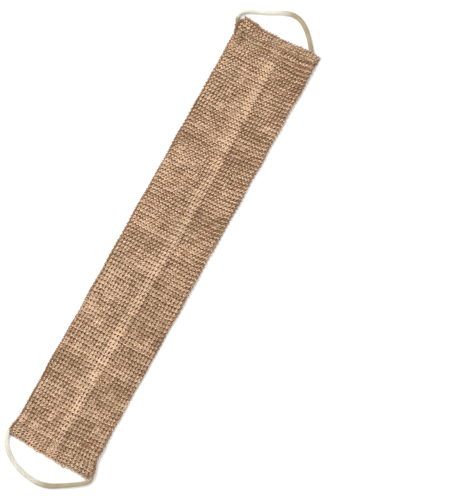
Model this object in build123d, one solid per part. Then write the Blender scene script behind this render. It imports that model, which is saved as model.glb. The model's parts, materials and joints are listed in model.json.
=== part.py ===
from build123d import *
from math import atan2, degrees, hypot, pi, radians, tan
import os

# A knitted back strap with a cord loop at each end, lying flat, front upwards. Millimetres.
# X runs along the strap towards the top handle, Y across it, Z is up from the surface it lies on.

# Strap
LENGTH = 620.0
WIDTH = 116.0
THICKNESS = 6.0  # two layers of knit, lying on each other
LAYER_GAP = 0.2
MIDDLE_Z = THICKNESS / 2
FOLD_RADIUS = MIDDLE_Z - 0.02  # the long folded sides

# The strap bends all along its length: it is made of sections that hinge on one another.
SECTIONS = 8
SECTION_LENGTH = LENGTH / SECTIONS
BEND_LIMIT = 30.0  # degrees, either way, at each of the seven bends
BEND_SLOPE = tan(radians(BEND_LIMIT / 2 + 1.5))  # the ends of the sections lean back by half a bend
SECTION_GAP = 0.25  # from a section's end to its hinge axis, at mid-thickness

# Back seam, and the seam allowance inside that lifts the front into a ridge
ALLOWANCE_WIDTH = 9.6  # both selvedges, pressed open
ALLOWANCE_THICKNESS = 2.4
RIDGE_TOP_WIDTH = 11.0
RIDGE_BASE_WIDTH = 24.0
RIDGE_RISE = 2.4
RIDGE_ENDS = (-284.0, 277.0)  # the end seams pinch it flat beyond these
RIDGE_WANDER = (-0.6, -2.0, -3.6, -5.2, -6.4, -6.6, -5.4, -4.0)  # where each section's ridge lies, in Y
SEAM_GROOVE = 1.4
SEAM_THREAD = 1.0  # diameter

# End seams: a row of stitches across each end, sunk in a groove on the front and on the back
END_SEAMS = {"top": ((286.5, 54.0), (299.0, -54.0)), "bottom": ((-290.0, 54.0), (-291.5, -54.0))}
END_GROOVE_WIDTH = 2.2
END_GROOVE_DEPTH = 1.2
STITCHES = 14
STITCH_LENGTH = 5.0

# Cord handles
CORD = 6.0  # diameter
TAIL_WIDTH = 7.0  # the sewn-in ends are pressed flat
TAIL_THICKNESS = 3.6
TACK_WALL = 0.7
TACK_LENGTH = 9.0
POCKET_CLEARANCE = 0.15

# Routes of the cords, by hand, in plan. Each loop starts and ends on its hinge axis, 6 outside the
# strap's end, where the cord flexes. The tails end short of it.
TOP_LOOP = (
    (316.0, 54.2), (326.5, 35.0), (338.8, 14.5), (343.0, -3.0),
    (338.8, -16.5), (328.5, -28.8), (316.0, -38.6),
)
BOTTOM_LOOP = (
    (-316.0, 57.6), (-326.5, 52.0), (-335.0, 38.5), (-344.5, 21.0), (-348.6, 0.5),
    (-344.0, -18.0), (-332.0, -34.0), (-322.5, -50.5), (-316.0, -60.8),
)
TAILS = {
    "top_handle_left_tail": ((268.0, 50.4), (283.0, 51.0), (295.0, 56.6), (302.5, 62.4), (309.6, 62.0)),
    "top_handle_right_tail": ((268.0, -50.0), (282.0, -51.4), (295.0, -50.4), (309.0, -43.6)),
    "bottom_handle_left_tail": (
        (-266.0, 50.2), (-281.0, 51.0), (-292.5, 55.8), (-301.5, 60.6), (-309.6, 60.2),
    ),
    "bottom_handle_right_tail": (
        (-266.0, -50.2), (-280.5, -51.2), (-292.0, -56.0), (-301.5, -61.8), (-309.6, -63.6),
    ),
}
TACKS = {
    "top_left_bar_tack": "top_handle_left_tail",
    "top_right_bar_tack": "top_handle_right_tail",
    "bottom_left_bar_tack": "bottom_handle_left_tail",
    "bottom_right_bar_tack": "bottom_handle_right_tail",
}
ROUNDING = 0.45  # of the shorter run at a corner, which its arc takes up
FAR = 400.0  # longer than anything that is cut


def save(shape, name):
    shape.label = name
    export_step(shape, f"parts/{name}.step")


def block(low, high):
    """A box between two corners."""
    size = [b - a for a, b in zip(low, high)]
    middle = [(a + b) / 2 for a, b in zip(low, high)]
    return Pos(*middle) * Box(*size)


def prism(outline, from_x, to_x):
    """The outline, in Y and Z, carried along X."""
    face = Plane((from_x, 0, 0), x_dir=(0, 1, 0), z_dir=(1, 0, 0)) * Polygon(*outline, align=None)
    return extrude(face, to_x - from_x, dir=(1, 0, 0))


# ---- routes -------------------------------------------------------------------------------


def arc_radii(points):
    """For each inner point of a route, the largest arc that its two runs leave room for."""
    radii = []
    for before, at, after in zip(points, points[1:], points[2:]):
        come = Vector(*at) - Vector(*before)
        go = Vector(*after) - Vector(*at)
        shorter = min(come.length, go.length)
        radii.append(ROUNDING * shorter / tan(radians(come.get_angle(go) / 2)))
    return radii


def route(points):
    """Straight runs joined by tangent arcs, at mid-thickness."""
    lifted = [(x, y, MIDDLE_Z) for x, y in points]
    return FilletPolyline(*lifted, radius=arc_radii(lifted))


def tube(path, profile):
    start = Plane(origin=path @ 0, x_dir=(0, 0, 1), z_dir=path % 0)
    return sweep(start * profile, path=path)


def report_cord(name, points, path, solid, area):
    radii = ", ".join(f"{r:.0f}" for r in arc_radii(points))
    share = solid.volume / (area * path.length)
    print(f"{name}: length {path.length:.1f}, radii {radii}, volume share {share:.4f}")


# ---- the knitted strap ----------------------------------------------------------------------


def section_ends(i):
    """Where section i starts and ends along X."""
    return -LENGTH / 2 + i * SECTION_LENGTH, -LENGTH / 2 + (i + 1) * SECTION_LENGTH


def section_space(i):
    """All the room that section i may fill: its hinged ends lean back above and below the axis."""
    start, end = section_ends(i)
    low = start + (SECTION_GAP if i > 0 else 0)
    high = end - (SECTION_GAP if i < SECTIONS - 1 else 0)
    height = 4 * THICKNESS
    lean_low = height * BEND_SLOPE if i > 0 else 0
    lean_high = height * BEND_SLOPE if i < SECTIONS - 1 else 0
    outline = Polygon(
        (low, MIDDLE_Z),
        (low + lean_low, MIDDLE_Z + height),
        (high - lean_high, MIDDLE_Z + height),
        (high, MIDDLE_Z),
        (high - lean_high, MIDDLE_Z - height),
        (low + lean_low, MIDDLE_Z - height),
        align=None,
    )
    face = Plane((0, FAR / 2, 0), x_dir=(1, 0, 0), z_dir=(0, -1, 0)) * outline
    return extrude(face, FAR, dir=(0, -1, 0))


def flat_tube():
    """The strap's outside, folded sides and all, before it is parted into layers."""
    face = Plane((-LENGTH / 2, 0, MIDDLE_Z), x_dir=(0, 1, 0), z_dir=(1, 0, 0)) * RectangleRounded(
        WIDTH, THICKNESS, FOLD_RADIUS
    )
    return extrude(face, LENGTH, dir=(1, 0, 0))


def corner_cuts():
    """The three corners where a cord comes out past the fold are left open."""
    cuts = []
    for side_x, side_y in ((1, 1), (-1, 1), (-1, -1)):
        outline = Polygon(
            (side_x * 293.0, side_y * 59.0),
            (side_x * 312.0, side_y * 50.5),
            (side_x * 312.0, side_y * 59.0),
            align=None,
        )
        cuts.append(Pos(0, 0, -1) * extrude(outline, 2 * THICKNESS, dir=(0, 0, 1)))
    return cuts


def seam_angle(end):
    """The way that an end seam runs, in degrees from +X."""
    (x0, y0), (x1, y1) = END_SEAMS[end]
    return degrees(atan2(y1 - y0, x1 - x0))


def end_groove(end, face_z, outward):
    """The groove of an end seam, on the front (outward 1) or the back (outward -1)."""
    (x0, y0), (x1, y1) = END_SEAMS[end]
    height = 2 * THICKNESS
    middle = face_z + outward * (height / 2 - END_GROOVE_DEPTH)
    bar = Box(WIDTH + 4.0, END_GROOVE_WIDTH, height)
    return Pos((x0 + x1) / 2, (y0 + y1) / 2, middle) * Rot(0, 0, seam_angle(end)) * bar


def ridge(i):
    """The rise of the front over the seam allowance in section i."""
    start, end = section_ends(i)
    centre = RIDGE_WANDER[i]
    half_top, half_base = RIDGE_TOP_WIDTH / 2, RIDGE_BASE_WIDTH / 2
    under = MIDDLE_Z + 1.0
    outline = (
        (centre - half_base, under),
        (centre - half_base, THICKNESS),
        (centre - half_top, THICKNESS + RIDGE_RISE),
        (centre + half_top, THICKNESS + RIDGE_RISE),
        (centre + half_base, THICKNESS),
        (centre + half_base, under),
    )
    return prism(outline, max(start, RIDGE_ENDS[0]), min(end, RIDGE_ENDS[1]))


def allowance_box(i, spare=0.0):
    """The room of both selvedges in section i, with some air beside and over them."""
    start, end = section_ends(i)
    low = (
        max(start, RIDGE_ENDS[0] + 1) - spare,
        RIDGE_WANDER[i] - ALLOWANCE_WIDTH / 2 - spare,
        MIDDLE_Z + LAYER_GAP / 2 - spare,
    )
    high = (
        min(end, RIDGE_ENDS[1] - 1) + spare,
        RIDGE_WANDER[i] + ALLOWANCE_WIDTH / 2 + spare,
        MIDDLE_Z + LAYER_GAP / 2 + ALLOWANCE_THICKNESS + spare,
    )
    return low, high


def seam_allowance(i):
    """The two selvedges inside the tube, pressed open to either side of the seam."""
    start, end = section_ends(i)
    parting = block(
        (start - 1, RIDGE_WANDER[i] - LAYER_GAP / 2, 0),
        (end + 1, RIDGE_WANDER[i] + LAYER_GAP / 2, 2 * THICKNESS),
    )
    return (block(*allowance_box(i)) & section_space(i)) - parting


def layer_space(front):
    """Half of space, above or below the plane where the two layers meet."""
    if front:
        return block((-FAR, -FAR, MIDDLE_Z + LAYER_GAP / 2), (FAR, FAR, 4 * THICKNESS))
    return block((-FAR, -FAR, -4 * THICKNESS), (FAR, FAR, MIDDLE_Z - LAYER_GAP / 2))


def seam_groove(i):
    """The line where the back's two edges meet."""
    start, end = section_ends(i)
    centre = RIDGE_WANDER[i]
    return block(
        (start - 1, centre - SEAM_GROOVE / 2, -1), (end + 1, centre + SEAM_GROOVE / 2, THICKNESS)
    )


def end_of(i):
    """The end seam that crosses section i, if one does."""
    return {0: "bottom", SECTIONS - 1: "top"}.get(i)


def front_panel(i, pockets):
    panel = (flat_tube() + ridge(i)) & section_space(i) & layer_space(True)
    panel -= block(*allowance_box(i, spare=LAYER_GAP / 2))
    if end_of(i):
        panel -= [end_groove(end_of(i), THICKNESS, 1), *corner_cuts(), *pockets]
    return panel


def back_panel(i, pockets):
    panel = flat_tube() & section_space(i) & layer_space(False)
    panel -= seam_groove(i)
    if end_of(i):
        panel -= [end_groove(end_of(i), 0, -1), *corner_cuts(), *pockets]
    return panel


def back_seam_thread(i):
    """One run of the thread, sunk between the back's two edges and ending short of the end seams."""
    start, end = section_ends(i)
    low, high = max(start, RIDGE_ENDS[0]), min(end, RIDGE_ENDS[1])
    thread = Pos(low, RIDGE_WANDER[i], MIDDLE_Z / 2) * Rot(0, 90, 0) * Cylinder(
        SEAM_THREAD / 2, high - low, align=(Align.CENTER, Align.CENTER, Align.MIN)
    )
    return thread & section_space(i)


# ---- end seams --------------------------------------------------------------------------------


def stitch(x, y, z, angle):
    """One stitch: a short length of thread with round ends."""
    straight = STITCH_LENGTH - SEAM_THREAD
    body = Rot(0, 90, 0) * Cylinder(SEAM_THREAD / 2, straight)
    for side in (-1, 1):
        body += Pos(side * straight / 2, 0, 0) * Sphere(SEAM_THREAD / 2)
    return Pos(x, y, z) * Rot(0, 0, angle) * body


def end_seam(end):
    """The row of stitches on the front and the row on the back."""
    (x0, y0), (x1, y1) = END_SEAMS[end]
    stitches = []
    for z in (SEAM_THREAD / 2 + 0.1, THICKNESS - SEAM_THREAD / 2 - 0.1):
        for n in range(STITCHES):
            along = (n + 0.5) / STITCHES
            x, y = x0 + along * (x1 - x0), y0 + along * (y1 - y0)
            stitches.append(stitch(x, y, z, seam_angle(end)))
    return Compound(children=stitches)


# ---- handles ----------------------------------------------------------------------------------


def handle_loop(name, points):
    """A cord loop, with round ends centred on its hinge axis."""
    path = route(points)
    profile = Circle(CORD / 2)
    cord = tube(path, profile)
    report_cord(name, points, path, cord, pi * CORD**2 / 4)
    for point in (path @ 0, path @ 1):
        cord += Pos(*point) * Sphere(CORD / 2)
    return cord


def tail(name):
    path = route(TAILS[name])
    solid = tube(path, Ellipse(TAIL_THICKNESS / 2, TAIL_WIDTH / 2))
    report_cord(name, TAILS[name], path, solid, pi * TAIL_THICKNESS * TAIL_WIDTH / 4)
    return solid


def pocket(name):
    """Room for a tail and its bar tack between the layers."""
    spare = TACK_WALL + POCKET_CLEARANCE
    points = list(TAILS[name])
    outward = 1 if points[0][0] > 0 else -1
    points[0] = (points[0][0] - outward * 1.0, points[0][1])
    path = route(points)
    return tube(path, Ellipse(TAIL_THICKNESS / 2 + spare, TAIL_WIDTH / 2 + spare))


def bar_tack(tail_name):
    """Thread wound round the tail, near its inner end."""
    (x0, y0), (x1, y1) = TAILS[tail_name][:2]
    run = hypot(x1 - x0, y1 - y0)
    ux, uy = (x1 - x0) / run, (y1 - y0) / run
    start = (x0 + 1.2 * ux, y0 + 1.2 * uy, MIDDLE_Z)
    plane = Plane(origin=start, x_dir=(0, 0, 1), z_dir=(ux, uy, 0))
    length = min(TACK_LENGTH, ROUNDING * run)
    outer = plane * Ellipse(TAIL_THICKNESS / 2 + TACK_WALL, TAIL_WIDTH / 2 + TACK_WALL)
    inner = plane * Ellipse(TAIL_THICKNESS / 2, TAIL_WIDTH / 2)
    return extrude(outer - inner, length, dir=(ux, uy, 0))


# ---- all the parts --------------------------------------------------------------------------------


def main():
    os.makedirs("parts", exist_ok=True)
    pockets = {name: pocket(name) for name in TAILS}
    for i in range(SECTIONS):
        end = end_of(i)
        near = [p for name, p in pockets.items() if end and name.startswith(end)]
        save(front_panel(i, near), f"front_panel_{i + 1}")
        save(back_panel(i, near), f"back_panel_{i + 1}")
        save(seam_allowance(i), f"seam_allowance_{i + 1}")
        save(back_seam_thread(i), f"back_seam_thread_{i + 1}")
    for end in END_SEAMS:
        save(end_seam(end), f"{end}_end_seam_thread")
    save(handle_loop("top_handle_cord", TOP_LOOP), "top_handle_cord")
    save(handle_loop("bottom_handle_cord", BOTTOM_LOOP), "bottom_handle_cord")
    for name in TAILS:
        save(tail(name), name)
    for name, tail_name in TACKS.items():
        save(bar_tack(tail_name), name)


main()
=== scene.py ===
import json
from math import cos, pi, radians, sin, sqrt, tau

import bpy
import numpy as np
from bpy.props import FloatProperty, FloatVectorProperty, IntProperty, PointerProperty
from mathutils import Matrix, Vector


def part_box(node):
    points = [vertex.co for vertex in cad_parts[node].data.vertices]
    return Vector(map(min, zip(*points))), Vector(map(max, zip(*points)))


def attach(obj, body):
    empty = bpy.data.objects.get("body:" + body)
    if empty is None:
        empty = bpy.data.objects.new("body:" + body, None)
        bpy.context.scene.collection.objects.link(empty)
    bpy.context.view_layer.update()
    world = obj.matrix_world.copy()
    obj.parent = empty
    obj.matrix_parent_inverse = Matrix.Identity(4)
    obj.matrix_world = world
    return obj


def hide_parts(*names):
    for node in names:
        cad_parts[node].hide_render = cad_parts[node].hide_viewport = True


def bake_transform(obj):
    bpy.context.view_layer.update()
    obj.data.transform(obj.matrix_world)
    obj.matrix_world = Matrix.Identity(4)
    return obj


bl_info = {
    "name": "Knitted Back Scrubber",
    "version": (1, 0, 0),
    "blender": (4, 5, 0),
    "location": "View3D > Sidebar > Back Scrubber",
    "description": "Makes a knitted plant-fibre back strap with a braided cord loop at each end",
    "category": "Object",
}

# The strap lies flat with its front up: X runs along it towards the top handle, Y across it. Metres.
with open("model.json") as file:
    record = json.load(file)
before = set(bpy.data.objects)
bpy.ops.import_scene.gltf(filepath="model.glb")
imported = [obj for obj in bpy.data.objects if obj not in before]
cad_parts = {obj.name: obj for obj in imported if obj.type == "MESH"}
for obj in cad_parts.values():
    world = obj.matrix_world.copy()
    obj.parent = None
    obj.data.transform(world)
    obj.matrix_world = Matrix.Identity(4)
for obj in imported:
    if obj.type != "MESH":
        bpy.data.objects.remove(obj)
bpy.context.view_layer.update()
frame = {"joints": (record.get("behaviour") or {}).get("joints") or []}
MM = 0.001

STRAP_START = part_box("front_panel_1")[0].x
STRAP_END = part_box("front_panel_8")[1].x
HALF_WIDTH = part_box("front_panel_4")[1].y
MIDDLE_Z = 3 * MM
FOLD_RADIUS = 1.5 * MM  # of the tube's folded sides: half the way from the back layer to the front
UP = np.array([0.0, 0.0, 1.0])

BEND_X = sorted(joint["pos_m"][0] for joint in frame["joints"] if joint["name"].startswith("bend_"))
END_SECTIONS = {"top": "section_8", "bottom": "section_1"}
LAST = len(BEND_X) - 1
KNIT_SLOT = "knitted_plant_fibre"
THREAD_SLOT = "sewing_thread"
SECTIONS = len(BEND_X) + 1
SECTION_LENGTH = (STRAP_END - STRAP_START) / SECTIONS

# Middle of the seam allowance in each section
SEAM_Y = [
    (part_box(f"seam_allowance_{i}")[0].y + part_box(f"seam_allowance_{i}")[1].y) / 2
    for i in range(1, SECTIONS + 1)
]

# Routes of the cords, metres, in plan and height. They start and end inside the corners of the strap.
TOP_CORD_ROUTE = [
    (0.29, 0.053, 0.004), (0.296, 0.058, 0.0036), (0.302, 0.0628, 0.0032),
    (0.309, 0.0636, 0.0031), (0.3165, 0.056, 0.0031), (0.3222, 0.043, 0.0031),
    (0.33, 0.027, 0.0031), (0.3392, 0.012, 0.0031), (0.3424, -0.003, 0.0031),
    (0.3385, -0.0155, 0.0031), (0.329, -0.0275, 0.0031), (0.316, -0.039, 0.0031),
    (0.306, -0.046, 0.0034), (0.295, -0.0505, 0.004),
]
BOTTOM_CORD_ROUTE = [
    (-0.287, 0.052, 0.004), (-0.2945, 0.0553, 0.0036), (-0.3015, 0.0583, 0.0032),
    (-0.31, 0.0588, 0.0031), (-0.319, 0.0545, 0.0031), (-0.3275, 0.047, 0.0031),
    (-0.335, 0.036, 0.0031), (-0.341, 0.021, 0.0031), (-0.3445, 0.0, 0.0031),
    (-0.3415, -0.018, 0.0031), (-0.3325, -0.033, 0.0031), (-0.324, -0.046, 0.0031),
    (-0.316, -0.0575, 0.0031), (-0.3085, -0.063, 0.0032), (-0.2995, -0.058, 0.0038),
    (-0.29, -0.053, 0.004),
]
TAIL_ROUTES = {
    "top_handle_left_tail": [
        (0.2665, 0.0504, 0.0041), (0.277, 0.05, 0.0041),
        (0.285, 0.051, 0.0041), (0.294, 0.0562, 0.0037),
    ],
    "top_handle_right_tail": [
        (0.2665, -0.05, 0.0041), (0.277, -0.0512, 0.0041),
        (0.288, -0.0514, 0.0041), (0.2985, -0.0492, 0.0038),
    ],
    "bottom_handle_left_tail": [
        (-0.2645, 0.0502, 0.0041), (-0.275, 0.0502, 0.0041),
        (-0.283, 0.0508, 0.0041), (-0.292, 0.0542, 0.0037),
    ],
    "bottom_handle_right_tail": [
        (-0.2645, -0.0502, 0.0041), (-0.275, -0.0504, 0.0041),
        (-0.284, -0.051, 0.0041), (-0.294, -0.0548, 0.0039),
    ],
}


# ---- sizes and colours a user would change ------------------------------------------------


class KnitSettings(bpy.types.PropertyGroup):
    yarn: FloatProperty(
        name="Yarn", description="Width of the soft yarn", default=1.36 * MM, unit="LENGTH", precision=5)
    flatness: FloatProperty(
        name="Flatness", description="The yarn's thickness as a share of its width",
        default=0.62, min=0.3, max=1.0)
    wales: IntProperty(
        name="Stitches round", description="Columns of stitches round the strap", default=53, min=20)
    row_low: FloatProperty(
        name="Row height, lower half", description="From one row to the next",
        default=5.95 * MM, unit="LENGTH")
    row_high: FloatProperty(
        name="Row height, upper half", description="From one row to the next",
        default=5.6 * MM, unit="LENGTH")
    overlap: FloatProperty(
        name="Overlap", description="How far a loop reaches past the middle of its row's edge",
        default=1.3 * MM, unit="LENGTH")
    depth: FloatProperty(
        name="Loop depth", description="How far a loop stands out from the middle of the cloth",
        default=0.92 * MM, unit="LENGTH")
    lean: FloatProperty(
        name="Lean", description="Sideways slant of the loops", default=0.26, min=-0.6, max=0.6)
    ridge: FloatProperty(
        name="Ridge", description="Rise of the front over the seam allowance",
        default=2.2 * MM, unit="LENGTH")
    pale: FloatVectorProperty(
        name="Pale fibre", description="Colour of the bright yarn",
        subtype="COLOR", default=(0.88, 0.62, 0.42))
    deep: FloatVectorProperty(
        name="Deep fibre", description="Colour of the dark yarn",
        subtype="COLOR", default=(0.275, 0.145, 0.07))
    rust: FloatVectorProperty(
        name="Rusty fibre", description="Colour of the reddish spots",
        subtype="COLOR", default=(0.50, 0.27, 0.15))


class CordSettings(bpy.types.PropertyGroup):
    diameter: FloatProperty(
        name="Cord", description="Diameter of the cord", default=6.0 * MM, unit="LENGTH", precision=5)
    carriers: IntProperty(
        name="Strands", description="Strands in the braid, half of them each way", default=12, min=8)
    pitch: FloatProperty(
        name="Pitch", description="Length in which a strand goes once round",
        default=21 * MM, unit="LENGTH")
    cotton: FloatVectorProperty(
        name="Cotton", description="Colour of the cord", subtype="COLOR", default=(0.85, 0.82, 0.73))
    shade: FloatVectorProperty(
        name="Shaded cotton", description="Colour between its strands",
        subtype="COLOR", default=(0.36, 0.32, 0.24))


class SeamSettings(bpy.types.PropertyGroup):
    thread: FloatProperty(
        name="Thread", description="Diameter of the sewing thread",
        default=0.9 * MM, unit="LENGTH", precision=5)
    stitch: FloatProperty(
        name="Stitch", description="Length of a stitch", default=5.5 * MM, unit="LENGTH", precision=5)
    colour: FloatVectorProperty(
        name="Thread colour", description="Colour of the thread",
        subtype="COLOR", default=(0.47, 0.32, 0.21))


# ---- curves, tubes and meshes -------------------------------------------------------------


def deselect():
    for thing in bpy.context.selected_objects:
        thing.select_set(False)
    bpy.context.view_layer.objects.active = None


def ramp(distance, width):
    """0 to 1 as the distance goes from 0 to the width, smooth at both ends."""
    share = np.clip(distance / width, 0.0, 1.0)
    return share * share * (3 - 2 * share)


def route_curve(name, points):
    """An open NURBS spline with the route's points as its control points."""
    curve = bpy.data.curves.new(name, "CURVE")
    curve.dimensions = "3D"
    curve.resolution_u = 16
    spline = curve.splines.new("NURBS")
    spline.points.add(len(points) - 1)
    for point, place in zip(spline.points, points):
        point.co = (*place, 1.0)
    spline.order_u = 3
    spline.use_endpoint_u = True
    return curve


def read_line(name, points):
    """The points along the route's own spline, as Blender gives them."""
    route = bpy.data.objects.new(name, route_curve(name, points))
    bpy.context.scene.collection.objects.link(route)
    line = bpy.data.meshes.new_from_object(route)
    places = np.array([vertex.co for vertex in line.vertices], float)
    bpy.data.meshes.remove(line)
    curve = route.data
    bpy.data.objects.remove(route)
    bpy.data.curves.remove(curve)
    return places


def lengths_along(line):
    steps = np.linalg.norm(np.diff(line, axis=0), axis=1)
    return np.concatenate([[0.0], np.cumsum(steps)])


def evenly(line, count):
    """The same line with its points evenly apart."""
    along = lengths_along(line)
    wanted = np.linspace(0, along[-1], count)
    return np.stack([np.interp(wanted, along, line[:, k]) for k in range(3)], axis=1)


def unit(vectors):
    return vectors / np.maximum(np.linalg.norm(vectors, axis=-1, keepdims=True), 1e-12)


def rings_round(lines, radii, facing, sides, turn=0.0, flat=1.0):
    """Rings of a tube round each of several lines of the same number of points.

    lines is (count, points, 3). facing is the way that each ring's first side looks at.
    flat squeezes the tube along that way.
    """
    along = unit(np.gradient(lines, axis=1))
    aside = unit(np.cross(along, facing))
    out = np.cross(aside, along)
    angles = turn + np.arange(sides) / sides * tau
    across = aside[..., None, :] * np.cos(angles)[None, None, :, None]
    upward = out[..., None, :] * np.sin(angles)[None, None, :, None] * flat
    return lines[..., None, :] + (across + upward) * radii[..., None, None]


def tubes_mesh(name, rings, tone, run):
    """One mesh of closed tubes from rings (tubes, points, sides, 3).

    Each tube gets its length and turn as a UV map named strand, and its tone as an attribute.
    """
    tubes, points, sides, _ = rings.shape
    first = np.arange(tubes)[:, None, None] * points * sides
    along = np.arange(points - 1)[None, :, None] * sides
    side = np.arange(sides)[None, None, :]
    after = (side + 1) % sides
    quads = np.stack(
        [first + along + side, first + along + after, first + along + sides + after,
         first + along + sides + side], axis=-1).reshape(-1, 4)
    starts = (first[..., 0] + np.arange(sides)[None, ::-1]).reshape(-1, sides)
    ends = (first[..., 0] + (points - 1) * sides + np.arange(sides)[None, :]).reshape(-1, sides)
    corners = np.concatenate([quads.ravel(), starts.ravel(), ends.ravel()])
    sizes = np.concatenate([np.full(len(quads), 4), np.full(2 * tubes, sides)])
    mesh = bpy.data.meshes.new(name)
    mesh.vertices.add(tubes * points * sides)
    mesh.vertices.foreach_set("co", rings.astype(np.float32).ravel())
    mesh.loops.add(len(corners))
    mesh.loops.foreach_set("vertex_index", corners.astype(np.int32))
    mesh.polygons.add(len(sizes))
    begin = np.concatenate([[0], np.cumsum(sizes)[:-1]])
    mesh.polygons.foreach_set("loop_start", begin.astype(np.int32))
    mesh.polygons.foreach_set("use_smooth", np.ones(len(sizes), bool))
    mesh.update(calc_edges=True)
    length_at = np.repeat(run.reshape(-1), sides)
    turn_at = np.tile(np.arange(sides) / sides, tubes * points)
    turns = turn_at[corners]
    quad_turns = turns[:quads.size].reshape(-1, 4)
    wrapped = np.tile(side.ravel() == sides - 1, tubes * (points - 1))
    quad_turns[wrapped, 1:3] = 1.0
    turns[:quads.size] = quad_turns.ravel()
    uv = mesh.uv_layers.new(name="strand")
    uv.data.foreach_set("uv", np.stack([length_at[corners], turns], axis=1).astype(np.float32).ravel())
    layer = mesh.attributes.new("tone", "FLOAT", "POINT")
    layer.data.foreach_set("value", np.repeat(tone.reshape(-1), sides).astype(np.float32))
    mesh.validate()
    return mesh


def add_piece(name, mesh, material):
    piece = bpy.data.objects.new(name, mesh)
    bpy.context.scene.collection.objects.link(piece)
    mesh.materials.clear()
    mesh.materials.append(material)
    return piece


def run_of(lines):
    """Length along each line, point by point."""
    steps = np.linalg.norm(np.diff(lines, axis=1), axis=2)
    return np.concatenate([np.zeros((len(lines), 1)), np.cumsum(steps, axis=1)], axis=1)


def wave_field(x, v, seed, longest, shortest, count=9):
    """A smooth, seeded field over the cloth, about -1 to 1."""
    rng = np.random.default_rng(seed)
    total = np.zeros(np.broadcast(x, v).shape)
    for _ in range(count):
        size = np.exp(rng.uniform(np.log(shortest), np.log(longest)))
        way = rng.uniform(0, tau)
        total += np.sin(tau * (x * cos(way) + v * sin(way)) / size + rng.uniform(0, tau))
    return total / sqrt(count / 2)


# ---- shader node groups -------------------------------------------------------------------


class Graph:
    """A short way to add and join nodes in one tree."""

    def __init__(self, tree):
        self.tree = tree

    def add(self, kind, label="", **values):
        node = self.tree.nodes.new(kind)
        node.label = label
        for key, value in values.items():
            setattr(node, key, value)
        return node

    def join(self, source, target):
        self.tree.links.new(source, target)

    def math(self, operation, first, second=None, third=None):
        node = self.add("ShaderNodeMath", operation=operation)
        for socket, value in zip(node.inputs, (first, second, third)):
            if value is None:
                continue
            if isinstance(value, (int, float)):
                socket.default_value = value
            else:
                self.join(value, socket)
        return node.outputs[0]

    def mix(self, share, first, second, blend="MIX"):
        node = self.add("ShaderNodeMix", data_type="RGBA", blend_type=blend)
        for socket, value in ((node.inputs[0], share), (node.inputs[6], first), (node.inputs[7], second)):
            if isinstance(value, (int, float)):
                socket.default_value = value
            elif isinstance(value, tuple):
                socket.default_value = (*value[:3], 1.0)
            else:
                self.join(value, socket)
        return node.outputs[2]

    def between(self, value, low, high, to_low=0.0, to_high=1.0):
        node = self.add("ShaderNodeMapRange", interpolation_type="SMOOTHSTEP")
        self.join(value, node.inputs["Value"])
        for key, number in (("From Min", low), ("From Max", high), ("To Min", to_low), ("To Max", to_high)):
            node.inputs[key].default_value = number
        return node.outputs["Result"]

    def vary(self, base, value, amount):
        """The base, plus what the value is over a half, times the amount."""
        return self.math("MULTIPLY_ADD", self.math("SUBTRACT", value, 0.5), amount, base)

    def noise(self, place, scale, detail=2.0, roughness=0.5):
        node = self.add("ShaderNodeTexNoise")
        self.join(place, node.inputs["Vector"])
        node.inputs["Scale"].default_value = scale
        node.inputs["Detail"].default_value = detail
        node.inputs["Roughness"].default_value = roughness
        return node.outputs["Fac"]


def group_tree(name, inputs, outputs):
    tree = bpy.data.node_groups.new(name, "ShaderNodeTree")
    for label, kind, value in inputs:
        socket = tree.interface.new_socket(name=label, in_out="INPUT", socket_type=kind)
        if value is not None:
            socket.default_value = value
    for label, kind in outputs:
        tree.interface.new_socket(name=label, in_out="OUTPUT", socket_type=kind)
    graph = Graph(tree)
    return graph, graph.add("NodeGroupInput"), graph.add("NodeGroupOutput")


def twisted_strand_group():
    """Plies that wind round a strand, with fine fibres along them."""
    found = bpy.data.node_groups.get("twisted_strand")
    if found:
        return found
    graph, given, result = group_tree(
        "twisted_strand",
        [("Strand", "NodeSocketVector", None), ("Plies", "NodeSocketFloat", 2.0),
         ("Pitch", "NodeSocketFloat", 0.005), ("Fibres", "NodeSocketFloat", 0.4)],
        [("Groove", "NodeSocketFloat"), ("Fibre", "NodeSocketFloat"), ("Height", "NodeSocketFloat")])
    parts = graph.add("ShaderNodeSeparateXYZ")
    graph.join(given.outputs["Strand"], parts.inputs[0])
    wound = graph.math("MULTIPLY", parts.outputs["Y"], given.outputs["Plies"])
    along = graph.math("DIVIDE", parts.outputs["X"], given.outputs["Pitch"])
    phase = graph.math("MULTIPLY", graph.math("ADD", wound, along), tau)
    ply = graph.math("ABSOLUTE", graph.math("SINE", graph.math("MULTIPLY", phase, 0.5)))
    groove = graph.math("POWER", graph.math("SUBTRACT", 1.0, ply), 2.0)
    spread = graph.add("ShaderNodeCombineXYZ")
    graph.join(graph.math("MULTIPLY", parts.outputs["X"], 260.0), spread.inputs[0])
    graph.join(graph.math("MULTIPLY", graph.math("ADD", wound, along), 5.0), spread.inputs[1])
    fibre = graph.noise(spread.outputs[0], 2.2, 3.0, 0.6)
    rough = graph.math("MULTIPLY", fibre, given.outputs["Fibres"])
    graph.join(groove, result.inputs["Groove"])
    graph.join(fibre, result.inputs["Fibre"])
    graph.join(graph.math("ADD", ply, rough), result.inputs["Height"])
    return graph.tree


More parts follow.
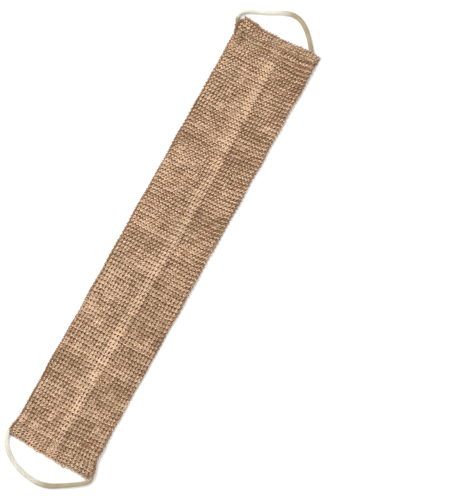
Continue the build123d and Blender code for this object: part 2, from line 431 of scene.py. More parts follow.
def blotch_group():
    """Slow changes of tone over the cloth, and small spots of another colour."""
    found = bpy.data.node_groups.get("blotches")
    if found:
        return found
    graph, given, result = group_tree(
        "blotches",
        [("Place", "NodeSocketVector", None)],
        [("Slow", "NodeSocketFloat"), ("Quick", "NodeSocketFloat"), ("Spots", "NodeSocketFloat"),
         ("Olive", "NodeSocketFloat")])
    place = given.outputs["Place"]
    graph.join(graph.noise(place, 14.0, 2.0), result.inputs["Slow"])
    graph.join(graph.noise(place, 170.0, 2.0, 0.6), result.inputs["Quick"])
    graph.join(graph.between(graph.noise(place, 110.0, 1.0), 0.62, 0.74), result.inputs["Spots"])
    graph.join(graph.between(graph.noise(place, 45.0, 1.0), 0.58, 0.78), result.inputs["Olive"])
    return graph.tree


def new_material(name, roughness):
    material = bpy.data.materials.new(name)
    material.use_nodes = True
    material.node_tree.nodes.clear()
    graph = Graph(material.node_tree)
    surface = graph.add("ShaderNodeBsdfPrincipled")
    surface.inputs["Roughness"].default_value = roughness
    surface.inputs["Specular IOR Level"].default_value = 0.25
    output = graph.add("ShaderNodeOutputMaterial")
    graph.join(surface.outputs[0], output.inputs[0])
    return material, graph, surface


def twist_on(graph, plies, pitch, fibres):
    """Twisted plies, laid along the strand's own UV map."""
    twist = graph.add("ShaderNodeGroup", node_tree=twisted_strand_group())
    for key, value in (("Plies", plies), ("Pitch", pitch), ("Fibres", fibres)):
        twist.inputs[key].default_value = value
    graph.join(graph.add("ShaderNodeUVMap", uv_map="strand").outputs[0], twist.inputs["Strand"])
    return twist


def bump_from(graph, surface, height, strength, distance):
    bump = graph.add("ShaderNodeBump")
    bump.inputs["Strength"].default_value = strength
    bump.inputs["Distance"].default_value = distance
    graph.join(height, bump.inputs["Height"])
    graph.join(bump.outputs[0], surface.inputs["Normal"])


def yarn_material(knit):
    """Dull, hairy plant-fibre yarn in uneven tans, with painted shade in the grooves between plies; its tone
    attribute also carries painted highlight and shade.
    """
    found = bpy.data.materials.get("plant_fibre_yarn")
    if found:
        return found
    material, graph, surface = new_material("plant_fibre_yarn", 0.88)
    surface.inputs["Sheen Weight"].default_value = 0.12
    surface.inputs["Sheen Roughness"].default_value = 0.5
    tone = graph.add("ShaderNodeAttribute", attribute_name="tone").outputs["Fac"]
    blotches = graph.add("ShaderNodeGroup", node_tree=blotch_group())
    graph.join(graph.add("ShaderNodeTexCoord").outputs["Object"], blotches.inputs["Place"])
    twist = twist_on(graph, 2.0, 4.6 * MM, 0.9)
    level = graph.math("MULTIPLY_ADD", tone, 0.36, 0.59)
    slow = graph.vary(level, blotches.outputs["Slow"], 0.5)
    quick = graph.vary(slow, blotches.outputs["Quick"], 0.7)
    fibre = graph.vary(quick, twist.outputs["Fibre"], 1.3)
    # painted shade: the grooves between the plies are darkened
    share = graph.math("SUBTRACT", fibre, graph.math("MULTIPLY", twist.outputs["Groove"], 0.50))
    clamped = graph.between(share, -0.1, 1.1)
    tan_colour = graph.mix(clamped, tuple(knit.deep), tuple(knit.pale))
    spots = graph.math("MULTIPLY", blotches.outputs["Spots"], 0.45)
    with_rust = graph.mix(spots, tan_colour, tuple(knit.rust))
    olive = graph.math("MULTIPLY", blotches.outputs["Olive"], 0.28)
    final = graph.mix(olive, with_rust, (0.42, 0.33, 0.19))
    graph.join(final, surface.inputs["Base Color"])
    bump_from(graph, surface, twist.outputs["Height"], 0.9, 0.32 * MM)
    return material


def cotton_material(cord):
    """Cream cotton strands, with painted shade where they pass under one another, in the grooves between
    plies, towards the strap's right side and where the cord lies inside the strap.
    """
    found = bpy.data.materials.get("cotton_braid")
    if found:
        return found
    material, graph, surface = new_material("cotton_braid", 0.8)
    surface.inputs["Sheen Weight"].default_value = 0.2
    surface.inputs["Sheen Roughness"].default_value = 0.4
    place = graph.add("ShaderNodeTexCoord").outputs["Object"]
    tone = graph.add("ShaderNodeAttribute", attribute_name="tone").outputs["Fac"]
    twist = twist_on(graph, 3.0, 3.2 * MM, 0.6)
    dirt = graph.noise(place, 60.0, 2.0)
    cloudy = graph.vary(graph.math("MULTIPLY_ADD", tone, 0.75, 0.10), dirt, 0.5)
    # painted shade: the grooves between the plies are darkened
    share = graph.math("SUBTRACT", cloudy, graph.math("MULTIPLY", twist.outputs["Groove"], 0.35))
    colour = graph.mix(graph.between(share, -0.1, 0.9), tuple(cord.shade), tuple(cord.cotton))
    across = graph.add("ShaderNodeSeparateXYZ")
    graph.join(place, across.inputs[0])
    # painted shade: the cord is multiplied to khaki towards the strap's right side (-Y)
    way = graph.math("SUBTRACT", graph.math("MULTIPLY", across.outputs["X"], 0.02), across.outputs["Y"])
    painted_shade_side = graph.between(way, -0.012, 0.012)
    khaki = graph.mix(1.0, colour, (0.54, 0.475, 0.36), "MULTIPLY")
    outside = graph.mix(painted_shade_side, colour, khaki)
    # painted shade: the cord is drawn dark brown where it lies inside the strap
    inside = graph.between(graph.math("MULTIPLY", tone, -1.0), 0.3, 1.2)
    graph.join(graph.mix(inside, outside, (0.30, 0.225, 0.15)), surface.inputs["Base Color"])
    bump_from(graph, surface, twist.outputs["Height"], 0.5, 0.15 * MM)
    return material


def thread_material(seam):
    """Tan sewing thread of three plies, with painted shade in the grooves between them."""
    found = bpy.data.materials.get("tan_sewing_thread")
    if found:
        return found
    material, graph, surface = new_material("tan_sewing_thread", 0.7)
    twist = twist_on(graph, 3.0, 2.4 * MM, 0.3)
    # painted shade: the grooves between the plies take a darker copy of the thread colour
    groove = graph.math("MULTIPLY", twist.outputs["Groove"], 0.7)
    dark = tuple(channel * 0.45 for channel in seam.colour)
    worn = graph.math("MULTIPLY", twist.outputs["Fibre"], 0.35)
    lit = graph.mix(worn, tuple(seam.colour), (0.62, 0.46, 0.33))
    graph.join(graph.mix(groove, lit, dark), surface.inputs["Base Color"])
    bump_from(graph, surface, twist.outputs["Height"], 0.6, 0.15 * MM)
    return material


# ---- the strap's shape --------------------------------------------------------------------


def seam_y(x):
    """Where the back seam and its ridge lie across the strap."""
    middles = STRAP_START + (np.arange(SECTIONS) + 0.5) * SECTION_LENGTH
    return np.interp(x, middles, SEAM_Y)


def hump(distance, width):
    return np.exp(-(distance / width) ** 2)


def front_rise(x, y, knit):
    """Rise of the front's middle over flat: ridge, cords inside the corners, end seams, slow waves."""
    aside = y - seam_y(x)
    flank = np.where(aside > 0, 8.5 * MM, 5.5 * MM)
    across = ramp(flank + 4.6 * MM - np.abs(aside), flank)
    along = ramp(x - STRAP_START - 20 * MM, 16 * MM)
    along = along * ramp(STRAP_END - 27 * MM - x, 14 * MM)
    strength = 0.80 + 0.20 * ramp(x + 90 * MM, 120 * MM)
    rise = knit.ridge * across * along * strength
    rise += tail_rise(x, y)
    pinch = (1.0 + 0.7 * ramp(np.abs(y) - 0.028, 0.012)) * MM
    for end in END_SECTIONS:
        rise -= pinch * hump(x - end_seam_x(end, y), 2.6 * MM)
    return rise + 0.30 * MM * wave_field(x, y, 11, 0.16, 0.035)


def distance_to(x, y, places):
    """Distance in plan from each point to a run of straight lines."""
    nearest = np.full(np.broadcast(x, y).shape, 1.0)
    for (x0, y0), (x1, y1) in zip(places, places[1:]):
        run_x, run_y = x1 - x0, y1 - y0
        share = np.clip(((x - x0) * run_x + (y - y0) * run_y) / (run_x ** 2 + run_y ** 2), 0, 1)
        nearest = np.minimum(nearest, np.hypot(x - x0 - share * run_x, y - y0 - share * run_y))
    return nearest


def cords_inside():
    """The part of each cord that lies inside a corner of the strap, in plan."""
    sides = (("top_handle_left_tail", TOP_CORD_ROUTE[:3]), ("top_handle_right_tail", TOP_CORD_ROUTE[:-4:-1]),
             ("bottom_handle_left_tail", BOTTOM_CORD_ROUTE[:3]),
             ("bottom_handle_right_tail", BOTTOM_CORD_ROUTE[:-4:-1]))
    return [[place[:2] for place in (*TAIL_ROUTES[name], *loop)] for name, loop in sides]


def tail_rise(x, y):
    """Lift of the front over the cords sewn into the corners."""
    rise = np.zeros(np.broadcast(x, y).shape)
    for places in cords_inside():
        near = distance_to(x, y, places)
        rise = np.maximum(rise, 3.0 * MM * ramp(9.0 * MM - near, 6.5 * MM))
    return rise


def end_seam_x(end, y):
    """The end seam's place along the strap, at y."""
    sides = {"top": (0.2990, 0.2865), "bottom": (-0.2915, -0.2900)}[end]
    return np.interp(y, (-0.054, 0.054), sides)


def side_swell(x, y):
    """Sideways shift of the cloth near the corners, where the cords push out."""
    shift = 4.6 * MM * hump(x - 0.2945, 7.5 * MM) * ramp(y - 0.036, 0.018)
    shift -= 2.0 * MM * ramp(x - 0.3000, 0.006) * ramp(y - 0.030, 0.024)
    shift += 2.4 * MM * hump(x + 0.2960, 8 * MM) * ramp(y - 0.036, 0.018)
    shift -= 6.4 * MM * ramp(-0.279 - x, 0.026) * ramp(-y - 0.020, 0.034)
    shift += 0.25 * MM * wave_field(x, y * 0.2, 5, 0.11, 0.03) * ramp(np.abs(y) - 0.045, 0.01)
    return shift


def fold_reach(knit):
    """From the strap's middle to where its sides start to fold round."""
    return HALF_WIDTH - (knit.depth + knit.yarn * knit.flatness / 2) - FOLD_RADIUS


def cloth_point(x, v, knit):
    """A point of the cloth's middle, v metres round the tube from the back seam."""
    reach = fold_reach(knit)
    seam = seam_y(x)
    edges = (reach + seam, pi * FOLD_RADIUS, 2 * reach, pi * FOLD_RADIUS, reach - seam)
    right = edges[0]
    front = right + edges[1]
    left = front + edges[2]
    back = left + edges[3]
    right_turn = -pi / 2 - np.clip((v - right) / FOLD_RADIUS, 0, pi)
    left_turn = pi / 2 - np.clip((v - left) / FOLD_RADIUS, 0, pi)
    parts = [v < right, v < front, v < left, v < back]
    y = np.select(
        parts,
        [seam - v, -reach + FOLD_RADIUS * np.cos(right_turn), -reach + (v - front),
         reach + FOLD_RADIUS * np.cos(left_turn)],
        reach - (v - back))
    z = np.select(
        parts,
        [-FOLD_RADIUS, FOLD_RADIUS * np.sin(right_turn), FOLD_RADIUS, FOLD_RADIUS * np.sin(left_turn)],
        -FOLD_RADIUS)
    turned = np.maximum(-v, v - sum(edges))  # along the selvedges, which are turned in at the seam
    lifted = turned > 0
    fold = ramp(turned, 1.7 * MM)
    outward = np.where(v < 0, -1.0, 1.0)
    y = np.where(lifted, seam + outward * np.maximum(turned - 0.3 * MM, 0), y)
    z = np.where(lifted, -FOLD_RADIUS + 2.35 * MM * fold, z)
    upper = ramp(z + FOLD_RADIUS, 2 * FOLD_RADIUS)
    rise = front_rise(x, y, knit) * np.where(lifted, 0.0, upper)
    y = y + side_swell(x, y)
    return np.stack([np.broadcast_to(x, y.shape), y, MIDDLE_Z + z + rise], axis=-1)


def outward_at(x, v, knit):
    """The outward way of the cloth, from its slope round the tube."""
    step = 0.35 * MM
    slope = cloth_point(x, v + step, knit) - cloth_point(x, v - step, knit)
    flat = np.stack([np.zeros_like(slope[..., 0]), -slope[..., 2], slope[..., 1]], axis=-1)
    return unit(flat)


# ---- knitting -----------------------------------------------------------------------------


def row_places(knit):
    """The middle of each row along X: close rows in the hems, one tall row inside the top seam."""
    places = [STRAP_START + 3.9 * MM]
    for _ in range(4):
        places.append(places[-1] + 4.5 * MM)
    stop = STRAP_END - 29 * MM
    while places[-1] < stop:
        share = ramp(places[-1] + 0.06, 0.12)
        places.append(places[-1] + knit.row_low + (knit.row_high - knit.row_low) * share)
    rest = STRAP_END - 3.9 * MM - places[-1]
    for share in (0.37, 0.27, 0.18, 0.18):
        places.append(places[-1] + share * rest)
    return np.array(places)


def knit_rows(knit):
    """The lines of all rows of yarn, the outward way along them, their thickness and tone."""
    rng = np.random.default_rng(41)
    rows = row_places(knit)
    count = len(rows)
    per_stitch = 15
    round_length = 4 * fold_reach(knit) + 2 * pi * FOLD_RADIUS
    wale = round_length / knit.wales
    stitches = knit.wales + 2
    samples = stitches * per_stitch + 1
    even = np.linspace(0, stitches * tau, samples)[None, :]
    turn = even - 0.17 * np.sin(2 * even)  # more points at the heads and feet of the loops
    stitch_number = turn / tau
    centres = np.arange(stitches + 1)

    def per_stitch_value(spread):
        values = rng.normal(0, spread, (count, stitches + 1))
        return np.array([np.interp(stitch_number[0], centres, row) for row in values])

    v0 = (stitch_number - 1) * wale
    middle = np.repeat(rows[:, None], samples, axis=1)
    gaps = np.diff(rows)
    above = np.append(gaps, gaps[-1])[:, None] / 2 + knit.overlap
    below = np.insert(gaps, 0, gaps[0])[:, None] / 2 + knit.overlap
    lower_half = ramp(0.02 - middle, 0.12)
    open_field = np.clip(wave_field(middle, v0, 21, 0.12, 0.02), -0.7, 1.1)
    height = 1.0 + 0.05 * open_field + per_stitch_value(0.06)
    swing = (np.cos(turn) - 0.075 * np.cos(3 * turn)) / 0.925
    offset = -swing * np.where(swing < 0, above, below) * height
    pull = (0.36 + 0.10 * lower_half + 0.10 * open_field) * MM + per_stitch_value(0.09 * MM)
    bend = 0.105 * wale * (1 + 0.3 * open_field)
    v = v0 + pull * np.sin(turn) + bend * np.sin(2 * turn)
    lean = knit.lean * (2.0 - lower_half) + 0.06 * wave_field(middle, v0, 31, 0.14, 0.03)
    v = v - lean * offset + per_stitch_value(0.13 * MM)
    x = middle + offset + row_drift(middle, v0, round_length) + per_stitch_value(0.20 * MM)
    at_back = 1 - ramp(round_length / 4 + 10 * MM - np.abs(v0 - round_length / 2), 20 * MM)
    whole_tube = ramp(STRAP_END - 6 * MM - np.abs(middle), 9 * MM)
    x = x + at_back * whole_tube * (above + below - 2 * knit.overlap) / 2
    x = x + 0.35 * MM * wave_field(middle, v0, 51, 0.10, 0.012)
    hem = ramp(np.abs(middle) - (STRAP_END - 9 * MM), 6 * MM)
    x = x + hem * per_stitch_value(0.55 * MM)
    v = v + hem * per_stitch_value(0.35 * MM)
    stand = knit.depth * (1 + per_stitch_value(0.08) - 0.32 * lower_half) * np.cos(2 * turn)
    inside = ramp(np.maximum(-v, v - round_length), 1.2 * MM)
    stand = stand * (1 - 0.45 * inside)
    line = cloth_point(x, v, knit)
    out = outward_at(x, v, knit)
    line = line + out * stand[..., None]
    thickness = knit.yarn / 2 * (1 + per_stitch_value(0.07) + 0.05 * open_field) * (1 - 0.12 * hem)
    # random tone per stitch and row, plus painted highlight and painted shade from the loops' stand, the
    # ridge and the folds
    tone = per_stitch_value(0.50) + rng.normal(0, 0.28, (count, 1)) + painted_light_seam_hem_tone(line, stand / knit.depth)
    lowest = line[..., 2] - thickness * knit.flatness
    line[..., 2] += np.maximum(0.06 * MM - lowest, 0)
    return rows, line, out, thickness, tone


def painted_light_seam_hem_tone(line, stand):
    """Tone of the yarn: painted highlight where loops stand out and along the ridge, painted shade deep
    down, right of the ridge and in the folds; darker along the end seams, paler in the bottom hem and a
    little darker in the top hem.
    """
    x, y, z = line[..., 0], line[..., 1], line[..., 2]
    # painted highlight along the ridge
    ridge = ramp(7.5 * MM - np.abs(y - seam_y(x) - 0.5 * MM), 4.5 * MM)
    ridge = ridge * ramp(z - 4 * MM, 2 * MM) * ramp(0.285 - np.abs(x), 0.02)
    hem = ramp(np.abs(x) - 0.283, 0.012)
    # painted shade right of the ridge, where the front slopes away from the light
    right = ramp(seam_y(x) - 5.5 * MM - y, 4.5 * MM)
    # painted shade in the folded sides, twice as strong on the left
    fold = ramp(np.abs(y) - HALF_WIDTH + 5 * MM, 4 * MM)
    seams = hump(x - end_seam_x("top", y), 3 * MM) + 0.5 * hump(x - end_seam_x("bottom", y), 3 * MM)
    fold = fold * np.where(y > 0, 2.0, 1.0)
    hem = hem * np.where(x > 0, -0.10, 0.35)
    # stand: painted highlight on loops that stand out, painted shade where they dip deep down
    return 1.15 * stand + 0.80 * ridge + hem - 0.26 * right - fold - 0.9 * seams


def row_drift(x, v, round_length):
    """How far rows run off square.

    They go up to the right in the upper part and in the lower right corner, and up to the left by
    the top seam. The top edge sags in its middle, and the lower left corner is lifted.
    """
    right_fold = round_length / 4
    to_right = np.interp(v, (0, right_fold, 2 * right_fold), (0.45, 1.0, 0.0))
    upper = ramp(x + 0.03, 0.10) * ramp(0.282 - x, 0.05)
    corner = ramp(-0.19 - x, 0.06) * ramp(x + 0.306, 0.03)
    top_slant = ramp(x - 0.262, 0.02) * ramp(0.306 - x, 0.012)
    left = np.interp(v, (right_fold, 3 * right_fold), (1.0, -1.0))
    around = np.abs(v - 2 * right_fold)
    on_back = np.where(v < 2 * right_fold, -v, round_length - v)
    y = np.where(around < right_fold, v - 2 * right_fold, on_back)
    sag = ramp(x - 0.280, 0.024) * ramp(0.040 - np.abs(y - 0.007), 0.022)
    drift = 3.3 * MM * to_right * (upper + 0.9 * corner) + 3.2 * MM * left * top_slant
    drift += 3.8 * MM * ramp(-0.280 - x, 0.028) * ramp(y, 0.050)
    return drift - 3.4 * MM * sag


def fibre_rings(line, out, count, seed):
    """Short stray fibres that leave the yarn and curl."""
    rng = np.random.default_rng(seed)
    row = rng.integers(0, line.shape[0], count)
    at = rng.integers(4, line.shape[1] - 4, count)
    start = line[row, at] + out[row, at] * 0.3 * MM
    along = unit(line[row, at + 3] - line[row, at - 3])
    away = unit(along + out[row, at] * rng.uniform(0.2, 0.9, (count, 1)) + rng.normal(0, 0.45, (count, 3)))
    curl = unit(np.cross(away, rng.normal(0, 1, (count, 3))))
    length = rng.uniform(2.2, 6.0, (count, 1)) * MM
    shares = (0, 0.33, 0.67, 1.0)
    steps = [start + away * length * share + curl * length * 0.35 * share ** 2 for share in shares]
    lines = np.stack(steps, axis=1)
    lines[..., 2] = np.maximum(lines[..., 2], 0.12 * MM)
    radii = np.broadcast_to(np.array([0.065, 0.06, 0.05, 0.03]) * MM, lines.shape[:2])
    facing = np.broadcast_to(curl[:, None, :] + 1e-3, lines.shape)
    return rings_round(lines, radii, facing, 3), lines


def inner_fibre_rings(rows, count, seed, knit):
    """Loose tow between the two layers, which fills the gaps of the knit."""
    rng = np.random.default_rng(seed)
    x = rng.uniform(rows[0] - 1 * MM, rows[-1] + 1 * MM, count)
    along_fold = rng.random(count) < 0.16
    side = np.where(rng.random(count) < 0.5, 1.0, -1.0)
    y = np.where(along_fold, side * rng.uniform(52.5, 55.4, count), rng.uniform(-52, 52, count)) * MM
    way = np.where(along_fold, rng.normal(0, 0.07, count), rng.uniform(0, pi, count))
    half = rng.uniform(4, 8, count) * MM
    upper = rng.random(count) < 0.5
    steps = []
    for share in (-1.0, 0.0, 1.0):
        bow = (1 - share * share) * rng.normal(0, 1.0 * MM, count)
        top = STRAP_END - np.where(np.abs(y) > 40 * MM, 4.0, 8.5) * MM
        px = x + half * share * np.cos(way) - bow * np.sin(way)
        px = np.clip(px, STRAP_START + 2.5 * MM, top)
        py = y + half * share * np.sin(way) + bow * np.cos(way) * np.where(along_fold, 0.4, 1.0)
        py = np.clip(py, -55.6 * MM, 55.6 * MM)
        rise = front_rise(px, py, knit)
        over_cord = 0.16 * tail_rise(px, py)
        level = np.where(upper, 0.95 * rise + 0.35 * MM + over_cord, 0.4 * rise - 0.25 * MM)
        py = py + side_swell(px, py)
        steps.append(np.stack([px, py, MIDDLE_Z + 0.15 * MM * rng.normal(0, 1, count) + level], axis=1))
    lines = np.stack(steps, axis=1)
    radii = np.array([0.6, 1.0, 0.6]) * rng.uniform(0.26, 0.46, (count, 1)) * MM
    return rings_round(lines, radii, np.broadcast_to(UP, lines.shape), 4, flat=0.4), lines


def row_groups(rows):
    """Which hinge's piece each row belongs to: pieces meet midway between hinges, and the last
    one starts a row later, because the top hem's close rows make it the heaviest."""
    cuts = [x + SECTION_LENGTH / 2 for x in BEND_X[:-1]]
    cuts[-1] += 5.6 * MM
    return np.searchsorted(cuts, rows)


def bending_piece(name, k, rings, tone, run, material, slot):
    """Tubes that lie round hinge k, counted from 0, as one piece."""
    name = f"{name}_{k + 1}"
    piece = add_piece(name, tubes_mesh(name, rings, tone, run), material)
    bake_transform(piece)
    return piece


def sections_of(k):
    """The CAD sections that the piece at hinge k stands for: one, and at the last hinge two."""
    return [k + 1] if k < LAST else [k + 1, k + 2]


def make_knit(knit):
    material = yarn_material(knit)
    rows, line, out, thickness, tone = knit_rows(knit)
    group = row_groups(rows)
    rings = rings_round(line, thickness, out, 6, flat=knit.flatness)
    run = run_of(line)
    for k in range(len(BEND_X)):
        mine = group == k
        piece = bending_piece("knit", k, rings[mine], tone[mine], run[mine], material, KNIT_SLOT)
        for i in sections_of(k):
            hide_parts(f"front_panel_{i}", f"back_panel_{i}", f"seam_allowance_{i}")


def make_fibres(knit):
    """Stray fibres that stand off the yarn, and the tow between the layers, whose dark colour is painted
    shade.
    """
    material = yarn_material(knit)
    rows, line, out, _, _ = knit_rows(knit)
    group = row_groups(rows)
    held = [group == k for k in range(len(BEND_X))]

    def count(k, in_end_row, in_row):
        return (in_end_row if k in (0, LAST) else in_row) * int(held[k].sum())

    def add(name, k, rings, lines, level):
        tone = np.full(lines.shape[:2], level)
        bending_piece(name, k, rings, tone, run_of(lines), material, KNIT_SLOT)

    for k, mine in enumerate(held):
        rings, lines = fibre_rings(line[mine], out[mine], count(k, 75, 55), 70 + k)
        add("stray_fibres", k, rings, lines, 0.9)
    for k, mine in enumerate(held):
        rings, lines = inner_fibre_rings(rows[mine], count(k, 200, 140), 170 + k, knit)
        # the tow's very low tone is painted shade: it is drawn as dark as the shade between the layers
        add("inner_fibres", k, rings, lines, -2.4)


# ---- cords --------------------------------------------------------------------------------


def sides_of(core):
    """The level way across a line and the upward way across it, point by point."""
    tangent = unit(np.gradient(core, axis=0))
    aside = unit(np.cross(tangent, UP))
    return aside, np.cross(aside, tangent)


def braid_lines(core, radius, carriers, pitch, flat):
    """Lines of the strands that wind both ways round a core, over and under by turns."""
    along = lengths_along(core)
    aside, above = sides_of(core)
    lines, outs, levels = [], [], []
    half = carriers // 2
    for way in (1, -1):
        for k in range(half):
            angle = way * (tau * along / pitch) + tau * k / half
            weave = np.cos(half * tau * along / pitch + (0 if way > 0 else pi))
            level = radius + 0.27 * MM * weave
            out = aside * np.cos(angle)[:, None] / flat[:, None] ** 0.5
            out = out + above * np.sin(angle)[:, None] * np.minimum(flat, 1.0)[:, None]
            lines.append(core + out * level[:, None])
            outs.append(unit(out))
            levels.append(0.5 + 0.5 * weave)
    return np.array(lines), np.array(outs), np.array(levels)


def braid_mesh(name, core, cord, flat, hidden):
    """The strands of the braid: flat is height over width, and hidden is 1 inside the strap."""
    radius = cord.diameter / 2
    strand = 1.12 * MM * cord.diameter / (6 * MM)
    middle = radius - strand * 0.6 - 0.25 * MM
    lines, outs, levels = braid_lines(core, middle, cord.carriers, cord.pitch, flat)
    rings = rings_round(lines, np.full(lines.shape[:2], strand), outs, 6, flat=0.6)
    rings[..., 2] = np.maximum(rings[..., 2], 0.04 * MM)
    rng = np.random.default_rng(len(core))
    # levels give painted shade where a strand passes under another; hidden darkens the part inside the strap
    # as painted shade
    tone = levels * 1.5 - 0.42 + rng.normal(0, 0.08, (len(lines), 1)) - 2.0 * hidden[None]
    return tubes_mesh(name, rings, tone, run_of(lines))


def heart_mesh(name, core, cord, flat):
    """The filled heart of the braid, that closes the gaps between its strands."""
    line = core[None]
    radius = np.full(line.shape[:2], cord.diameter / 2 - 1.0 * MM)
    rings = rings_round(line, radius, np.broadcast_to(UP, line.shape), 10)
    rings[..., 2] = line[..., None, 2] + (rings[..., 2] - line[..., None, 2]) * flat[None, :, None]
    # the heart's low tone gives it the shaded cotton colour: painted shade in the gaps between the strands
    return tubes_mesh(name, rings, np.full(line.shape[:2], -0.2), run_of(line))


def joined(name, first, second):
    """One mesh from two, with both their UV maps and tones."""
    pieces = []
    deselect()
    for k, mesh in enumerate((first, second)):
        piece = bpy.data.objects.new(f"{name}_{k}", mesh)
        bpy.context.scene.collection.objects.link(piece)
        piece.select_set(True)
        pieces.append(piece)
    bpy.context.view_layer.objects.active = pieces[0]
    bpy.ops.object.join()
    mesh = pieces[0].data
    bpy.data.objects.remove(pieces[0])
    mesh.name = name
    return mesh


def corded_mesh(name, core, cord, flat, hidden):
    braid = braid_mesh(name, core, cord, flat, hidden)
    return joined(name, braid, heart_mesh(name + "_heart", core, cord, flat))


def make_loop(cord, material, name, route, handle, rounds):
    """A handle. rounds is its height over width from end to end."""
    line = read_line(name, route)
    length = lengths_along(line)[-1]
    core = evenly(line, int(length / (0.85 * MM)))
    along = lengths_along(core)
    from_end = np.minimum(along, along[-1] - along)
    flat = 0.50 + 0.50 * ramp(from_end - 5 * MM, 12 * MM)
    section_flat = np.interp(along / along[-1], np.linspace(0, 1, len(rounds)), rounds)
    flat = flat * section_flat
    # A flattened stretch still lies on the floor
    core[:, 2] -= cord.diameter / 2 * (1 - np.minimum(section_flat, 1.0))
    # the last 12 mm at each end lie inside the strap and get painted shade
    hidden = 1 - ramp(from_end - 12 * MM, 6 * MM)
    piece = add_piece(name, corded_mesh(name, core, cord, flat, hidden), material)
    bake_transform(piece)
    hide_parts(handle + "_cord")


def make_tail(cord, material, name, route, section):
    core = evenly(read_line(name, route), 34)
    flat = np.full(len(core), 0.50)
    mesh = corded_mesh(name, core, cord, flat, np.ones(len(core)))
    piece = add_piece(name + "_braid", mesh, material)
    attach(piece, section)
    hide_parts(name)


def make_cords(cord):
    material = cotton_material(cord)
    make_loop(
        cord, material, "top_handle_braid", TOP_CORD_ROUTE, "top_handle",
        (1.2, 1.35, 1.3, 0.95, 0.68, 0.68, 0.8, 0.95, 1.0))
    make_loop(
        cord, material, "bottom_handle_braid", BOTTOM_CORD_ROUTE, "bottom_handle",
        (1.0, 0.88, 0.70, 0.58, 0.54, 0.64, 1.05, 1.4, 1.3))
    for name, route in TAIL_ROUTES.items():
        make_tail(cord, material, name, route, END_SECTIONS[name.split("_")[0]])


# ---- sewing -------------------------------------------------------------------------------


def stitched(places, up, stitch, lift, dip):
    """A line that goes over the cloth stitch by stitch and dips into it between them."""
    along = lengths_along(places)
    phase = np.abs(np.sin(pi * along / stitch))
    height = dip + (lift - dip) * phase ** 0.4
    return places + up * height[:, None]


def thread_rings(lines, ups, radius, sides=6):
    """Rings, tone and run of threads, as tubes_mesh takes them."""
    level = np.zeros(lines.shape[:2])
    return rings_round(lines, level + radius, np.broadcast_to(ups, lines.shape), sides), level, run_of(lines)


def make_end_seam(seam, knit, end, section):
    """Stitches across the strap on the front and the back."""
    y = np.linspace(0.053, -0.053, 400)
    x = end_seam_x(end, y)
    front = np.stack([x, y, MIDDLE_Z + FOLD_RADIUS + front_rise(x, y, knit)], axis=1)
    back = np.stack([x, y, np.full(len(y), MIDDLE_Z - FOLD_RADIUS)], axis=1)
    over = stitched(front, UP, seam.stitch, 1.05 * MM, -1.2 * MM)
    under = stitched(back, -UP, seam.stitch, 0.95 * MM, -1.2 * MM)
    name = f"{end}_end_stitches"
    mesh = tubes_mesh(name, *thread_rings(np.array([over, under]), UP, seam.thread / 2))
    piece = add_piece(name, mesh, thread_material(seam))
    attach(piece, section)
    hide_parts(f"{end}_end_seam_thread")


def make_back_seam(seam):
    """The thread along the back, in one piece for each hinge."""
    material = thread_material(seam)
    for k, hinge in enumerate(BEND_X):
        start = STRAP_START + 5 * MM if k == 0 else hinge - SECTION_LENGTH / 2
        end = STRAP_END - 5 * MM if k == LAST else hinge + SECTION_LENGTH / 2
        x = np.linspace(start, end, int((end - start) / (0.5 * MM)))
        sway = 0.5 * MM * np.sin(x / (3.1 * MM))
        places = np.stack([x, seam_y(x) + sway, np.full(len(x), 1.5 * MM)], axis=1)
        height = np.abs(np.sin(pi * (x - STRAP_START) / seam.stitch)) ** 0.4
        places[:, 2] -= 1.0 * MM * height - 0.3 * MM
        parts = thread_rings(places[None], -UP, seam.thread / 2)
        piece = bending_piece("back_seam", k, *parts, material, THREAD_SLOT)
        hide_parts(*[f"back_seam_thread_{i}" for i in sections_of(k)])


def make_tack(seam, cord, name, tail, section):
    """Thread wound tightly round a cord tail."""
    core = evenly(read_line(name, TAIL_ROUTES[tail]), 200)[30:150]
    along = lengths_along(core)
    turns = 20
    fine = np.linspace(0, along[-1], turns * 26)
    middle = np.stack([np.interp(fine, along, core[:, k]) for k in range(3)], axis=1)
    aside, above = sides_of(middle)
    angle = tau * turns * fine / along[-1]
    wide = cord.diameter / 2 * 1.33
    high = cord.diameter / 2 * 0.60
    out = aside * np.cos(angle)[:, None] * wide + above * np.sin(angle)[:, None] * high
    mesh = tubes_mesh(name, *thread_rings((middle + out)[None], unit(out)[None], 0.36 * MM, 5))
    piece = add_piece(name + "_winding", mesh, thread_material(seam))
    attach(piece, section)
    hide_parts(name)


# ---- stage --------------------------------------------------------------------------------


def add_floor():
    deselect()
    bpy.ops.mesh.primitive_plane_add(size=8.0, location=(0, 0, 0))
    floor = bpy.context.active_object
    floor.name = "floor"
    material, graph, surface = new_material("studio_floor", 0.9)
    place = graph.add("ShaderNodeTexCoord").outputs["Object"]
    grain = graph.noise(place, 3.0, 2.0)
    graph.join(graph.mix(grain, (0.93, 0.93, 0.93), (0.96, 0.96, 0.96)), surface.inputs["Base Color"])
    floor.data.materials.append(material)


def add_light(name, place, target, size, power):
    lamp = bpy.data.lights.new(name, "AREA")
    lamp.shape = "DISK"
    lamp.size = size
    lamp.energy = power
    light = bpy.data.objects.new(name, lamp)
    bpy.context.scene.collection.objects.link(light)
    light.location = place
    way = Vector(target) - Vector(place)
    light.rotation_euler = way.to_track_quat("-Z", "Y").to_euler()


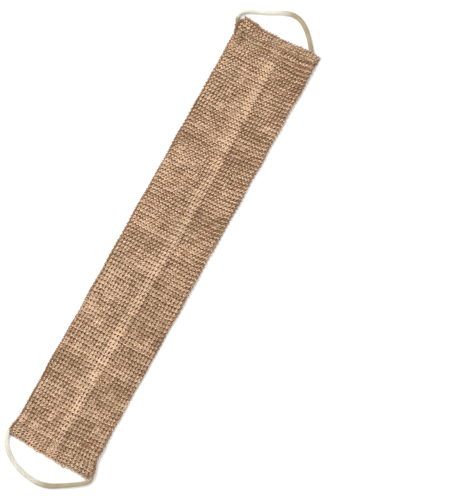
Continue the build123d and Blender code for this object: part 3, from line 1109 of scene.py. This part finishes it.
def add_camera():
    """Looks down on the strap, leaning a little to its lower end, with the strap to the upper right."""
    target = Vector((0.0335, -0.0725, 0.003))
    distance = 2.0
    tilt = radians(5.0)
    back = Vector((-sin(tilt), 0.0, cos(tilt)))
    right = Vector((0.48552, -0.87422, 0.0))
    right = (right - back * right.dot(back)).normalized()
    up = back.cross(right)
    lens = bpy.data.cameras.new("camera")
    lens.sensor_fit = "VERTICAL"
    lens.sensor_height = 24.0
    lens.lens = 24.0 * distance / 0.6382
    lens.clip_end = 20.0
    camera = bpy.data.objects.new("camera", lens)
    bpy.context.scene.collection.objects.link(camera)
    turned = Matrix((right, up, back)).transposed().to_4x4()
    camera.matrix_world = Matrix.Translation(target + back * distance) @ turned
    bpy.context.scene.camera = camera


def make_stage():
    scene = bpy.context.scene
    scene.view_settings.view_transform = "Standard"
    world = bpy.data.worlds.new("studio")
    scene.world = world
    world.use_nodes = True
    background = world.node_tree.nodes["Background"]
    background.inputs["Color"].default_value = (1.0, 0.995, 0.985, 1.0)
    background.inputs["Strength"].default_value = 0.66
    add_floor()
    add_light("key", (0.30, 1.05, 1.50), (0, 0, 0), 1.5, 30.0)
    add_light("fill", (-0.9, -0.9, 1.5), (0, 0, 0), 1.4, 8.0)
    add_camera()


# ---- operators ----------------------------------------------------------------------------


class SCRUBBER_OT_stage(bpy.types.Operator):
    """Adds the floor, the lights and the camera"""
    bl_idname = "scrubber.stage"
    bl_label = "Stage"

    def execute(self, context):
        make_stage()
        return {"FINISHED"}


class SCRUBBER_OT_cords(bpy.types.Operator):
    """Braids the two cord handles and their sewn-in tails"""
    bl_idname = "scrubber.cords"
    bl_label = "Cord Handles"

    def execute(self, context):
        make_cords(context.scene.scrubber_cord)
        return {"FINISHED"}


class SCRUBBER_OT_knit(bpy.types.Operator):
    """Knits the tube of the strap, row by row"""
    bl_idname = "scrubber.knit"
    bl_label = "Knitted Strap"

    def execute(self, context):
        make_knit(context.scene.scrubber_knit)
        return {"FINISHED"}


class SCRUBBER_OT_fibres(bpy.types.Operator):
    """Adds the stray fibres that stand off the yarn and the tow between the layers"""
    bl_idname = "scrubber.fibres"
    bl_label = "Fibres"

    def execute(self, context):
        make_fibres(context.scene.scrubber_knit)
        return {"FINISHED"}


class SCRUBBER_OT_seams(bpy.types.Operator):
    """Sews the back seam and the two end seams"""
    bl_idname = "scrubber.seams"
    bl_label = "Seams"

    def execute(self, context):
        seam, knit = context.scene.scrubber_seam, context.scene.scrubber_knit
        make_back_seam(seam)
        for end, section in END_SECTIONS.items():
            make_end_seam(seam, knit, end, section)
        return {"FINISHED"}


class SCRUBBER_OT_tacks(bpy.types.Operator):
    """Winds thread round the four cord tails"""
    bl_idname = "scrubber.tacks"
    bl_label = "Bar Tacks"

    def execute(self, context):
        seam, cord = context.scene.scrubber_seam, context.scene.scrubber_cord
        for end, section in END_SECTIONS.items():
            for side in ("left", "right"):
                make_tack(seam, cord, f"{end}_{side}_bar_tack", f"{end}_handle_{side}_tail", section)
        return {"FINISHED"}


class SCRUBBER_PT_panel(bpy.types.Panel):
    bl_label = "Back Scrubber"
    bl_idname = "SCRUBBER_PT_panel"
    bl_space_type = "VIEW_3D"
    bl_region_type = "UI"
    bl_category = "Back Scrubber"

    def draw(self, context):
        layout = self.layout
        for name in SETTINGS:
            settings = getattr(context.scene, name)
            box = layout.box()
            for key in settings.__annotations__:
                box.prop(settings, key)
        for operator in OPERATORS:
            layout.operator(operator.bl_idname)


SETTINGS = {"scrubber_knit": KnitSettings, "scrubber_cord": CordSettings, "scrubber_seam": SeamSettings}
OPERATORS = (
    SCRUBBER_OT_stage,
    SCRUBBER_OT_cords,
    SCRUBBER_OT_knit,
    SCRUBBER_OT_fibres,
    SCRUBBER_OT_seams,
    SCRUBBER_OT_tacks,
)


CLASSES = (*SETTINGS.values(), *OPERATORS, SCRUBBER_PT_panel)


def register():
    for item in CLASSES:
        bpy.utils.register_class(item)
    for name, settings in SETTINGS.items():
        setattr(bpy.types.Scene, name, PointerProperty(type=settings))


def unregister():
    for name in SETTINGS:
        delattr(bpy.types.Scene, name)
    for item in reversed(CLASSES):
        bpy.utils.unregister_class(item)


def main():
    register()
    deselect()
    bpy.ops.scrubber.stage()
    bpy.ops.scrubber.cords()
    bpy.ops.scrubber.knit()
    bpy.ops.scrubber.fibres()
    bpy.ops.scrubber.seams()
    bpy.ops.scrubber.tacks()


if __name__ == "__main__":
    main()
